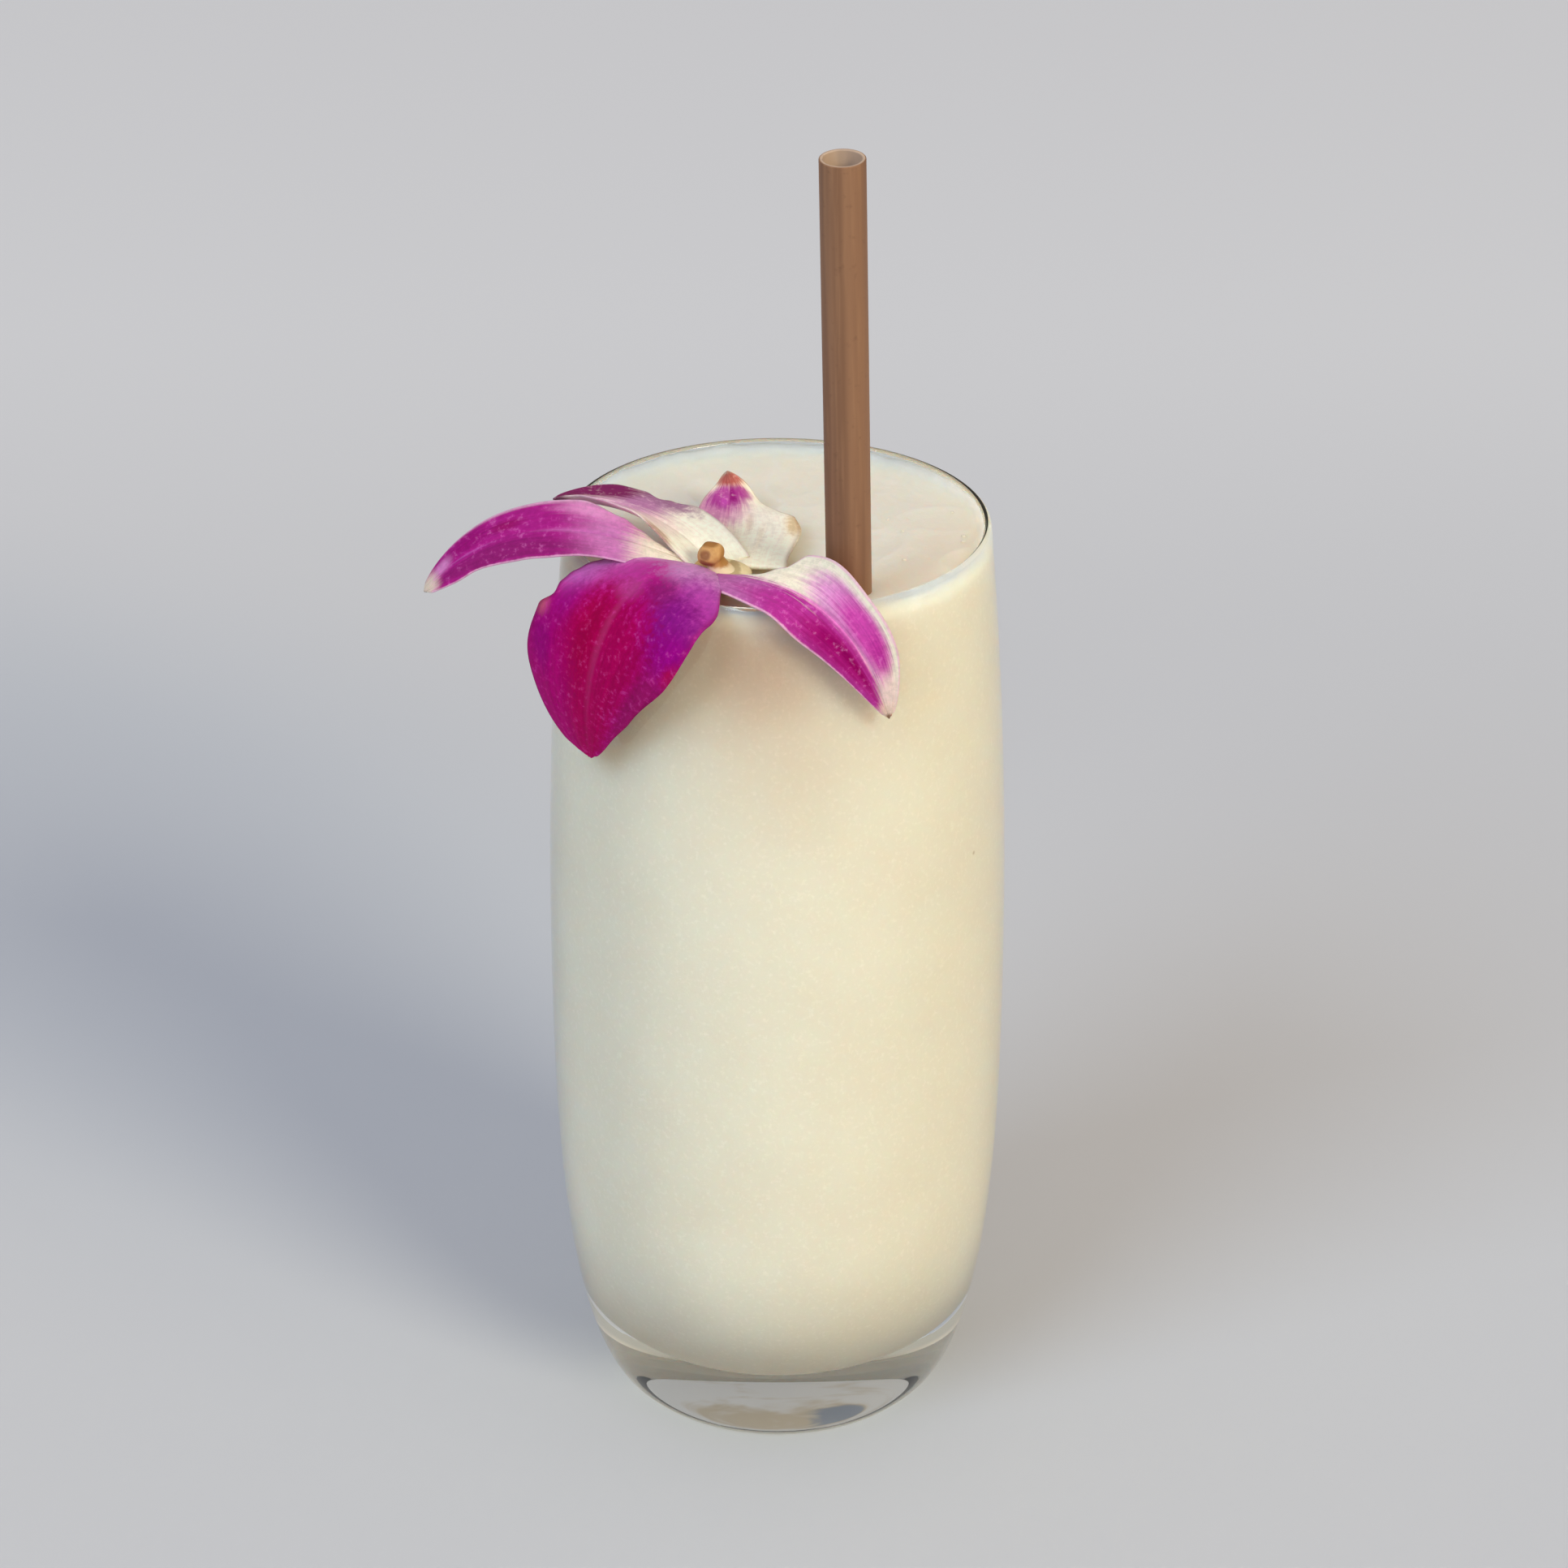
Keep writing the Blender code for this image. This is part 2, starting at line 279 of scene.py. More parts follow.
studio = {
    "aim": (0, 0, 60),
    # compass is the bearing from the object in degrees, 0 to the right and -90 to the front
    "lights": {
        "warmLight": {
            "compass": -49.3, "rise": 32, "away": 5.5, "side": 2.1,
            "power": 160, "colour": (1, 0.94, 0.77)},
        "coolLight": {
            "compass": -133, "rise": 38.5, "away": 5.5, "side": 3.1,
            "power": 136, "colour": (0.62, 0.79, 1)},
    },
    "air": ((0.19, 0.176, 0.18, 1), (0.59, 0.547, 0.56, 1)),  # lights the scene, level and from above
    # what glass shows of the room, each colour with where it sets in, aside or up
    "roomLow": (0.31, 0.285, 0.23, 1),
    "roomSides": ((0.3, 0.9), (0.95, 0.82, 0.64, 1)),
    "roomHorizon": ((0.3, 0.12), (0.45, 0.42, 0.35, 1)),
    "roomHigh": ((0.45, 0.95), (0.75, 0.75, 0.76, 1)),
    "backdrop": (0.62, 0.63, 0.66, 1),  # past the floor, which only a low view sees
}


def makeCamera():
    data = bpy.data.cameras.new("camera")
    data.sensor_width = view["sensor"]
    data.lens = view["lens"]
    data.clip_start = view["nearest"]
    camera = bpy.data.objects.new("camera", data)
    camera.location = Vector(view["place"]) * mm
    camera.rotation_euler = (math.radians(view["tilt"]), 0, 0)
    bpy.context.scene.collection.objects.link(camera)
    bpy.context.scene.camera = camera


def floorMaterial():
    material, nodes, shader, _ = newMaterial("paleFloor")
    look = floorLook
    place = nodes.objectPlace()
    depth = nodes.split(place)[1]
    tone = nodes.layer(look["ground"], nodes.noise(place, *look["cloud"]), *look["clouds"])
    # painted light, lighter toward the back
    tone = nodes.layer(tone, depth, *look["far"])
    # painted shadow: a darker oval where the long shadow falls
    away = nodes.farFrom(place, *look["deepPlace"])
    tone = nodes.layer(tone, away, *look["deep"], "MULTIPLY")
    # painted light: under the foot the floor takes the pool's colour and glows with it
    edge = paintedPoolLook["radius"] * mm
    glow = nodes.ranged(nodes.vectors("LENGTH", place), edge + paintedPoolLook["edge"] * mm, edge)
    pool = paintedPoolColour(nodes, place, depth)
    nodes.wire(
        shader, Base_Color=nodes.blend(glow, tone, pool), Roughness=look["roughness"],
        Specular_IOR_Level=look["specular"], Emission_Color=pool,
        Emission_Strength=nodes.maths("MULTIPLY", glow, paintedPoolLook["strength"]))
    return material


def paintedPoolColour(nodes, place, depth):
    # painted light and reflection, brown in front and pale behind
    look = paintedPoolLook
    ripple = nodes.noise(place, *look["ripple"])
    back = nodes.ranged(depth, *look["turn"])
    pool = nodes.layer(look["ground"], nodes.maths("ADD", ripple, back), *look["ripples"])
    # painted caustic, frayed by the ripple
    away = nodes.frayed(nodes.farFrom(place, *look["blotPlace"]), ripple, look["blotFray"])
    return nodes.layer(pool, away, *look["blot"])


def makeFloor():
    bm = bmesh.new()
    bmesh.ops.create_grid(bm, x_segments=2, y_segments=2, size=floorLook["side"] / 2)
    bmesh.ops.translate(bm, vec=(0, 0, floorLook["height"]), verts=bm.verts)
    floor = newObject(bm, "floor", floorMaterial())


def makeLights():
    aim = Vector(studio["aim"]) * mm
    for name, light in studio["lights"].items():
        data = bpy.data.lights.new(name, "AREA")
        data.shape = "DISK"
        data.size = light["side"]
        data.energy = light["power"]
        data.color = light["colour"]
        compass, rise = math.radians(light["compass"]), math.radians(light["rise"])
        toward = Vector((
            math.cos(compass) * math.cos(rise), math.sin(compass) * math.cos(rise), math.sin(rise)))
        lamp = bpy.data.objects.new(name, data)
        lamp.location = aim + toward * light["away"]
        lamp.rotation_euler = toward.to_track_quat("Z", "Y").to_euler()
        lamp.visible_camera = False
        bpy.context.scene.collection.objects.link(lamp)


def makeRoom():
    # diffuse surfaces are lit by plain air, and only glass sees the room
    world = bpy.data.worlds.new("studioAir")
    world.use_nodes = True
    nodes = Nodes(world.node_tree)
    across, _, height = nodes.split(nodes.add("TexCoord").outputs["Generated"])
    air = nodes.blend(nodes.ranged(height, 0, 1, smooth=False), *studio["air"])
    room = studio["roomLow"]
    aside = nodes.maths("ABSOLUTE", across)
    for way, part in ((aside, "roomSides"), (height, "roomHorizon"), (height, "roomHigh")):
        room = nodes.layer(room, way, *studio[part])
    rays = nodes.add("LightPath").outputs
    room = nodes.blend(rays["Is Camera Ray"], room, studio["backdrop"])
    seen = nodes.blend(rays["Is Diffuse Ray"], room, air)
    nodes.plug(world.node_tree.nodes["Background"], "Color", seen)
    bpy.context.scene.world = world
    bpy.context.scene.view_settings.view_transform = "Standard"


makeCamera()
makeFloor()
makeLights()
makeRoom()
print("camera, floor and light are in place")


# glass

glassShape = {
    "footRadius": 20.5,
    "bellyRadius": 33.0,
    "bellyHeight": 72.0,
    "rimRadius": 29.9,
    "footSquareness": 2.8,
    "footFullness": 2.2,
    "wallAtRim": 1.1,
    "wallAtBelly": 1.8,
    "baseThickness": 10.1,
    "bowlHeight": 42.0,
    "bowlSquareness": 2.6,
    "bowlFullness": 3.0,
    "contactRadius": 15.0,  # the flat of the foot, with a rounded heel out to the side
    "heelHeight": 3.0,
    # steps of the profile, each with how strongly they crowd at the low end
    "bowlSteps": (44, 2.4),
    "wallSteps": (24,),
    "footSteps": 8,
    "heelSteps": (24, 0.6),
    "sideSteps": (48, 2.0),
    "shoulderSteps": (20,),
    "rimSteps": 12,
    "steps": 192,
}

glassLook = {
    "colour": rgb(248, 251, 249),
    "lightThrough": (0.885, 0.895, 0.89, 1),
    "smears": (55, 4.0, 0.6),
    "roughness": (0.45, 0.8, 0.0, 0.03),
    "waves": (18, 1.0),
    "waveRelief": (0.03, 0.001),
    "bending": 1.5,
}


def outerRadius(height):
    shape = glassShape
    if height >= shape["bellyHeight"]:
        rise = (height - shape["bellyHeight"]) / (rimHeight - shape["bellyHeight"])
        return shape["bellyRadius"] - (shape["bellyRadius"] - shape["rimRadius"]) * rise**2
    drop = 1 - height / shape["bellyHeight"]
    swell = (1 - drop ** shape["footSquareness"]) ** (1 / shape["footFullness"])
    return shape["footRadius"] + (shape["bellyRadius"] - shape["footRadius"]) * swell


def innerRadius(height):
    shape = glassShape
    rise = max(height, shape["bowlHeight"]) / rimHeight
    thinning = (shape["wallAtRim"] - shape["wallAtBelly"]) * max(0, (rise - 0.5) / 0.5)
    wall = shape["wallAtBelly"] + thinning
    if height >= shape["bowlHeight"]:
        return outerRadius(height) - wall
    drop = (shape["bowlHeight"] - height) / (shape["bowlHeight"] - shape["baseThickness"])
    swell = max(0, 1 - drop ** shape["bowlSquareness"]) ** (1 / shape["bowlFullness"])
    return (outerRadius(shape["bowlHeight"]) - wall) * swell


def insideProfile(top):
    shape = glassShape
    bowl = easedSteps(shape["baseThickness"], shape["bowlHeight"], *shape["bowlSteps"])
    wall = easedSteps(shape["bowlHeight"], top, *shape["wallSteps"])
    return [(0, shape["baseThickness"])] + [(innerRadius(h), h) for h in bowl[1:] + wall[1:]]


def glassProfile():
    # the heel ends in the side's own slope
    shape = glassShape
    lip = shape["wallAtRim"] / 2
    shoulder = rimHeight - lip
    heel, contact, belly = shape["heelHeight"], shape["contactRadius"], shape["bellyHeight"]
    run = outerRadius(heel) - contact
    near = 0.01
    slope = 2 * near / (outerRadius(heel + near) - outerRadius(heel - near))
    foot = [(contact * step / shape["footSteps"], 0) for step in range(shape["footSteps"])]
    foot += [
        (contact + run * share, heel * share ** (slope * run / heel))
        for share in easedSteps(0, 1, *shape["heelSteps"])
    ]
    heights = easedSteps(heel, belly, *shape["sideSteps"])[1:]
    heights += easedSteps(belly, shoulder, *shape["shoulderSteps"])[1:]
    side = [(outerRadius(height), height) for height in heights]
    rim = arc((shape["rimRadius"] - lip, shoulder), lip, 0, 180, shape["rimSteps"])[1:-1]
    return foot + side + rim + insideProfile(shoulder)[::-1]


def glassMaterial():
    # lamps shine straight through it, so that what it holds is lit
    look = glassLook
    material, nodes, shader, output = newMaterial("clearGlass")
    place = nodes.objectPlace()
    smear = nodes.noise(place, *look["smears"])
    nodes.wire(
        shader, Base_Color=look["colour"], Roughness=nodes.ranged(smear, *look["roughness"]),
        IOR=look["bending"], Transmission_Weight=1.0)
    nodes.bumped(shader, *look["waveRelief"], nodes.noise(place, *look["waves"]))
    clear = nodes.add("BsdfTransparent", Color=look["lightThrough"])
    rays = nodes.add("LightPath")
    mixed = nodes.add(
        "MixShader", in0=rays.outputs["Is Shadow Ray"], in1=shader.outputs[0],
        in2=clear.outputs[0],
    )
    nodes.plug(output, "Surface", mixed.outputs[0])
    return material


def makeGlass():
    bm = spun(glassProfile(), glassShape["steps"])
    newPiece(bm, "glassTumbler", glassMaterial(), "clear_glass", "glass")


makeGlass()
print("glass is blown")


# straw

strawShape = {
    "radius": 3.08,
    "bore": 2.55,
    "at": (9.8, -21.7),  # where its axis passes the drink's surface
    "lean": (-0.0209, -0.0796, 1.0),
    "above": 64.7,
    "below": 119.0,
    "endRounding": 0.16,
    "endSteps": 5,
    "lengthSteps": 40,
    "steps": 72,
}

strawLook = {
    "drawnOut": (1, 1, 0.035),
    "broad": (420, 2.0),
    "fine": (1700, 3.0, 0.6),
    "fleck": (900, 3.0),
    "ground": rgb(128, 90, 64),
    "broadStreaks": ((0.35, 0.65), rgb(148, 107, 77)),
    "fineStreaks": ((0.45, 0.75, 0, 0.35), rgb(166, 124, 90)),
    "flecks": ((0.6, 0.8, 0, 0.35), rgb(104, 72, 52)),
    "bore": rgb(202, 174, 148),
    "boreStreaks": ((0.3, 0.7), rgb(184, 158, 136)),
    "boreFade": 0.8,  # how much of the outer half of the wall it takes up
    "roughness": (0.3, 0.7, 0.5, 0.66),
    "specular": 0.3,
    "relief": (0.25, 0.0001),
}

strawAxis = Vector(strawShape["lean"]).normalized()
strawFoot = Vector((*strawShape["at"], drinkLevel))


def strawMaterial():
    # the pattern is read in the straw's own directions, streaks along it and a paler bore
    look = strawLook
    material, nodes, shader, _ = newMaterial("brownStraw")
    turn = Vector((0, 0, 1)).rotation_difference(strawAxis).to_euler()
    local = nodes.placed(nodes.objectPlace(), strawFoot * mm, turn)
    reach = nodes.vectors("LENGTH", nodes.vectors("MULTIPLY", local, (1, 1, 0)))
    drawn = nodes.vectors("MULTIPLY", local, look["drawnOut"])
    broad = nodes.noise(drawn, *look["broad"])
    fine = nodes.noise(drawn, *look["fine"])
    body = nodes.layer(look["ground"], broad, *look["broadStreaks"])
    body = nodes.layer(body, fine, *look["fineStreaks"])
    body = nodes.layer(body, nodes.noise(local, *look["fleck"]), *look["flecks"])
    inside = nodes.layer(look["bore"], broad, *look["boreStreaks"])
    middle = (strawShape["radius"] + strawShape["bore"]) / 2 * mm
    wall = (strawShape["radius"] - strawShape["bore"]) / 2 * mm
    outside = nodes.ranged(reach, middle, middle + wall * look["boreFade"])
    tone = nodes.blend(outside, inside, body)
    nodes.surface(shader, look, tone, nodes.ranged(fine, *look["roughness"]), fine)
    return material


def makeStraw():
    # a closed ring profile round the Z axis, laid along the lean
    shape = strawShape
    rounding = shape["endRounding"]
    top, foot = shape["above"] - rounding, rounding - shape["below"]
    inner, outer = shape["bore"] + rounding, shape["radius"] - rounding
    corners = ((outer, top), (inner, top), (inner, foot), (outer, foot))
    ends = [
        arc(corner, rounding, 90 * i, 90 * (i + 1), shape["endSteps"])
        for i, corner in enumerate(corners)
    ]
    lengths = easedSteps(top, foot, shape["lengthSteps"])[1:-1]
    bore = [(shape["bore"], height) for height in lengths]
    side = [(shape["radius"], height) for height in lengths[::-1]]
    bm = spun(ends[0] + ends[1] + bore + ends[2] + ends[3] + side, shape["steps"])
    laidAlong(bm, strawAxis, strawFoot)
    newPiece(bm, "drinkingStraw", strawMaterial(), "straw_brown", "straw")


makeStraw()
print("straw is in")


# drink

drinkShape = {
    "sunk": 0.08,  # how far it reaches into the wall
    "edgeRise": 1.45,  # how far it climbs the wall
    "edgeReach": 0.5,
    "edgeUneven": 0.35,
    "strawRise": 1.1,
    "strawReach": 1.5,
    "edgeWaves": ((1, 5, 7), (0.6, 14, 9)),  # height, number, seed
    "swells": ((0.16, 11.0, 1), (0.09, 4.5, 2), (0.035, 1.6, 3)),  # height, size, seed
    "creases": ((0.28, 12.0, 4, 9), (0.1, 5.0, 5, 6)),  # height, size, seed, sharpness
    "calmReach": 2.5,  # the swells and creases die away toward the wall
    "rings": (90, 1.35),
    "steps": 256,
}

drinkLook = {
    "ground": rgb(226, 220, 204),
    "cloud": (90, 5.0, 0.6),
    "clouds": ((0.3, 0.7), rgb(224, 216, 199)),
    "froth": rgb(241, 234, 215),
    "frothDepths": (2, 0.5),
    "frothStrength": 0.7,
    "grain": (1500, 3.0, 0.6),
    "grains": ((0.5, 0.75, 0, 0.4), rgb(242, 235, 222)),
    # painted shade: the bloom's warm shade on the side under it, each with place, reach, colour and
    # strength
    "bloomShades": (
        ((0.5, -31.0, 130.0), (18.0, 18.0, 24.0), rgb(232, 214, 200), 0.55),
        ((-1.5, -31.0, 131.5), (9.0, 9.0, 9.0), rgb(226, 202, 190), 0.7),
    ),
    "shadeFade": (1.5, 0.1, 0),
    "specks": (260.0, 0.012, 0.11, 0.6),  # scale, share, size and softness
    "speckStrength": 0.6,
    "speckTone": rgb(172, 146, 112),
    "roughness": (0.3, 0.7, 0.32, 0.48),
    "specular": 0.25,
    "softness": (1.0, (1.0, 0.68, 0.5), 0.01),
    "lumps": (600, 4.0, 0.65),
    "relief": (0.35, 0.0003),
}

# half sunk beads, most of them to the right of the straw
bubbleShape = {
    "seed": 11,
    "count": 12,
    "across": (17, 5),  # middle and spread
    "deep": (-1, 8),
    "farthest": 26,
    "size": (0.14, 0.3),
    "length": (1, 1.6),
    "flatness": 0.6,
    "lift": 0.1,
}

bubbleLook = {
    "cloud": (2500, 3.0),
    "tones": (rgb(238, 230, 208), rgb(226, 218, 196)),
    "roughness": (0.3, 0.7, 0.15, 0.3),
}


def drinkRise(x, y):
    # how far the surface stands above its level at a place
    shape = drinkShape
    fromWall = max(0, innerRadius(drinkLevel) - math.hypot(x, y))
    angle = math.atan2(y, x)
    uneven = sum(
        height * noise.noise(Vector((math.cos(angle) * number, math.sin(angle) * number, seed)))
        for height, number, seed in shape["edgeWaves"]
    )
    rise = shape["edgeRise"] * (1 + shape["edgeUneven"] * uneven)
    rise *= math.exp(-fromWall / shape["edgeReach"])
    fromStraw = math.dist((x, y), strawShape["at"]) - strawShape["radius"]
    rise += shape["strawRise"] * math.exp(-max(0, fromStraw) / shape["strawReach"])
    calm = min(1, fromWall / shape["calmReach"])
    for height, size, seed in shape["swells"]:
        rise += calm * height * noise.noise(Vector((x / size, y / size, seed * 3.7)))
    for height, size, seed, sharpness in shape["creases"]:
        wander = Vector((x / size, y / size, seed * 5.3))
        rise += calm * height * (1 - abs(noise.noise(wander))) ** sharpness
    return rise


def drinkProfile():
    # the inside of the glass, let a little into the wall, and rings across the top
    wall = insideProfile(drinkLevel)
    moved = []
    for i, (radius, height) in enumerate(wall):
        before, after = wall[max(i - 1, 0)], wall[min(i + 1, len(wall) - 1)]
        run, rise = after[0] - before[0], after[1] - before[1]
        out = drinkShape["sunk"] / math.hypot(run, rise)
        moved.append((radius + out * rise, height - out * run))
    moved[0] = (0, wall[0][1] - drinkShape["sunk"])
    moved[-1] = (moved[-1][0], drinkLevel)
    edge = moved[-1][0]
    inward = easedSteps(0, 1, *drinkShape["rings"])[1:]
    return moved + [(edge * (1 - share), drinkLevel) for share in inward]


def speckMask(nodes, place):
    # sparse specks, each the size of a grain
    scale, share, size, softness = drinkLook["specks"]
    cells = nodes.add("TexVoronoi", Vector=place, Scale=scale).outputs
    draw = nodes.add("SeparateColor", Color=cells["Color"]).outputs[0]
    chosen = nodes.maths("LESS_THAN", draw, share)
    near = nodes.maths("SUBTRACT", 1.0, nodes.maths("DIVIDE", cells["Distance"], size), clamp=True)
    return nodes.maths("MULTIPLY", chosen, nodes.ranged(near, 0.0, softness))


def drinkMaterial():
    look = drinkLook
    material, nodes, shader, _ = newMaterial("coconutLemonade")
    place = nodes.objectPlace()
    grain = nodes.noise(place, *look["grain"])
    tone = nodes.layer(look["ground"], nodes.noise(place, *look["cloud"]), *look["clouds"])
    low, high = ((drinkLevel - depth) * mm for depth in look["frothDepths"])
    height = nodes.split(place)[2]
    tone = nodes.layer(tone, height, (low, high, 0, look["frothStrength"]), look["froth"])
    tone = nodes.layer(tone, grain, *look["grains"])
    # painted shade under the bloom, multiplied into the drink's colour
    for at, reach, colour, strength in look["bloomShades"]:
        away = nodes.farFrom(place, at, reach)
        tone = nodes.layer(tone, away, (*look["shadeFade"], strength), colour, "MULTIPLY")
    dark = nodes.maths("MULTIPLY", speckMask(nodes, place), look["speckStrength"])
    tone = nodes.blend(dark, tone, look["speckTone"])
    roughness = nodes.ranged(grain, *look["roughness"])
    nodes.surface(shader, look, tone, roughness, nodes.noise(place, *look["lumps"]))
    return material


def makeDrink():
    bm = spun(drinkProfile(), drinkShape["steps"])
    for vert in bm.verts:
        if vert.co.z > drinkLevel - 0.001:
            vert.co.z = drinkLevel + drinkRise(vert.co.x, vert.co.y)
    newPiece(bm, "lemonade", drinkMaterial(), "coconut_lemonade", "drink")
    makeBubbles()


def frothMaterial():
    look = bubbleLook
    material, nodes, shader, _ = newMaterial("paleFroth")
    cloud = nodes.noise(nodes.objectPlace(), *look["cloud"])
    nodes.wire(
        shader, Base_Color=nodes.blend(cloud, *look["tones"]),
        Roughness=nodes.ranged(cloud, *look["roughness"]))
    return material


def makeBubbles():
    shape = bubbleShape
    draw = random.Random(shape["seed"])
    bm = bmesh.new()
    for _ in range(shape["count"]):
        x, y = draw.gauss(*shape["across"]), draw.gauss(*shape["deep"])
        reach = math.hypot(x, y)
        if reach > shape["farthest"]:
            x, y = x * shape["farthest"] / reach, y * shape["farthest"] / reach
        size = draw.uniform(*shape["size"])
        beads = bmesh.ops.create_icosphere(bm, subdivisions=2, radius=size)["verts"]
        bmesh.ops.scale(bm, vec=(draw.uniform(*shape["length"]), 1, shape["flatness"]), verts=beads)
        place = Vector((x, y, drinkLevel + drinkRise(x, y) + size * shape["lift"]))
        bmesh.ops.translate(bm, vec=place, verts=beads)
    newPiece(bm, "froth", frothMaterial(), "coconut_lemonade")


makeDrink()
print("drink is poured")


# orchid

petalShapes = {
    # rib is a cubic curve from the heart to the tip, measured from the rim, as in the model;
    # blade is the half's width, where it is widest, its roundness and the claw at its foot
    "left": {
        "rib": [(-10, -17, 0), (-20, -17, 5), (-36, -12, 9.5), (-48.5, -13, -5)],
        "lean": (-10, -20, -30),
        "left": {"blade": (5.5, 0.45, 0.5, 0.3), "fold": (0, -5, -5), "curl": (-10, -20, -10),
                 "trim": ((0, 0.9), (0.4, 0.68), (0.6, 0.82), (0.7, 0.86), (0.82, 0.82), (0.92, 1))},
        "right": {"blade": (5.5, 0.45, 0.5, 0.3), "fold": (0, 5, 0),
                  "trim": ((0.12, 0.2), (0.2, 0.35), (0.27, 0.55), (0.34, 0.75), (0.48, 1.02))},
        "groove": 0.22, "ripple": 0.18,
    },
    "right": {
        "rib": [(-8, -20.5, 0.8), (0, -27, 3.5), (10, -35, 4.5), (15.2, -30, -16)],
        "lean": (-10, 30, 65, 55),
        "left": {"blade": (6.6, 0.6, 0.7, 0.7), "fold": (-20, 0, 20, 15), "curl": (0, 15, 10),
                 "trim": ((0.18, 0.25), (0.3, 0.55), (0.38, 1.0), (0.8, 0.97), (0.92, 0.9))},
        "right": {"blade": (5.4, 0.55, 0.7, 0.95), "fold": (-5, 7, 0, 5)},
        "groove": 0.25, "ripple": 0.12,
    },
    "front": {
        "rib": [(-9, -18, 0.3), (-17, -24, 7), (-27, -33, -1), (-25.5, -24, -25)],
        "lean": (0, -20, -33, -33),
        "left": {"blade": (13.6, 0.45, 0.65, 0.15), "fold": (12, 10, 0), "curl": (-15, -15, -15),
                 "trim": ((0.1, 0.85), (0.25, 1), (0.68, 1), (0.85, 0.89), (0.95, 0.78))},
        "right": {"blade": (14.3, 0.68, 0.45, 0.1), "fold": (-20, -13, 0, 0), "curl": (-10, -10, -15),
                  "trim": ((0.4, 1), (0.5, 0.88), (0.56, 0.83), (0.61, 0.77), (0.67, 0.87),
                           (0.85, 0.97))},
        "groove": 0.16, "ripple": 0.25,
    },
    "back_left": {
        "rib": [(-9, -16, 0), (-12, -10, 2.5), (-20, -4, 5.5), (-31, -3, 4.5)],
        "lean": (0, 20, 20),
        "left": {"blade": (7.5, 0.55, 0.6, 0.5), "fold": (5, 5, 5), "curl": (10, 10, 10)},
        "right": {"blade": (7.2, 0.5, 0.65, 0.8), "fold": (10, 12, 15), "curl": (20, 20, 20),
                  "trim": ((0.42, 1), (0.52, 0.84), (0.58, 0.75), (0.66, 0.85), (0.8, 1))},
        "groove": 0.15, "ripple": 0.15,
    },
    "back": {
        "rib": [(-8, -15.5, 0), (-7, -4, 1), (-6, 8, -2), (-7, 7.5, 4.2)],
        "lean": (0, 0, 0),
        "left": {"blade": (4.5, 0.45, 0.7, 0.5), "fold": (5, 5, 5), "curl": (10, 10, 10)},
        "right": {"blade": (10.4, 0.36, 0.9, 0.9), "fold": (0, 0, -35),
                  "trim": ((0.35, 1), (0.5, 0.95), (0.62, 0.82), (0.75, 0.72), (0.9, 0.85))},
        "groove": 0.12, "ripple": 0.12,
    },
}

petalMake = {
    "thickness": 0.7,
    "marginShare": 0.3,  # of the thickness, left at the margin
    "marginFade": (3, 12),  # power to the sides and steepness to the tip
    "tipHalfWidth": 0.3,
    "tipCrowding": 1.5,
    "tipPoint": 0.015,
    "stepsAlong": 128,
    "stepsAcross": 52,
    "grooveReach": 0.07,
    "grooveFade": (1.05, 0.6, 0.95),  # stretch, power and where it has run out
    "veins": (0.05, 11, 2.2),  # height, number across and along
    "waves": (7, 2.5, 3),  # number along, power to the margin, shift of seed between the halves
    "seedStep": 2.7,
}

petalLook = {
    # shared by all five; what is drawn out follows the petal's own directions
    "seedStep": 4.3,
    "patchFray": 0.65,
    "drawnOut": (3.2, 15, 1),
    "hairsDrawnOut": (9, 60, 1),
    "streaks": (1.0, 5.0, 0.62, 0.5),
    "hairs": (1.0, 3.0, 0.6),
    "hairShare": 0.25,
    "speckles": (1100, 4.0, 0.65),
    "cells": (3200.0, 0.5),  # scale and height
    "frayRange": (0.25, 0.75),
    "edgeFray": 0.05,
    "edgeRange": (0.95, 1.01),
    "fleckRange": (0.54, 0.72, 0),
    "toneRange": (0.75, 1.25),
    "palest": 1.12,
    "roughness": (0.3, 0.7, 0.42, 0.58),
    "specular": 0.03,
    "softness": (0.35, (1.0, 0.45, 0.6), 0.0012),
    "relief": (0.25, 0.0001),
}

petalTones = {
    "front": {
        "base": rgb(172, 14, 122), "edge": rgb(132, 16, 84), "edgeStrength": 0.45,
        "flecks": (rgb(204, 84, 164), 0.28), "darkest": 0.85, "fray": "speckle"},
    "left": {
        "base": rgb(168, 32, 130), "edge": rgb(224, 170, 200), "edgeStrength": 0.8,
        "flecks": (rgb(208, 120, 184), 0.35), "darkest": 0.85},
    "right": {
        "base": rgb(180, 56, 148), "edge": rgb(240, 186, 206), "edgeStrength": 0.85,
        "flecks": (rgb(226, 150, 204), 0.3), "darkest": 0.85},
    "back_left": {
        "base": rgb(253, 242, 218), "edge": rgb(140, 80, 110), "edgeStrength": 0.3,
        "flecks": (rgb(252, 240, 220), 0.2), "darkest": 0.94},
    "back": {
        "base": rgb(253, 240, 212), "edge": rgb(158, 118, 88), "edgeStrength": 0.4,
        "flecks": (rgb(252, 240, 220), 0.2), "darkest": 0.94},
}

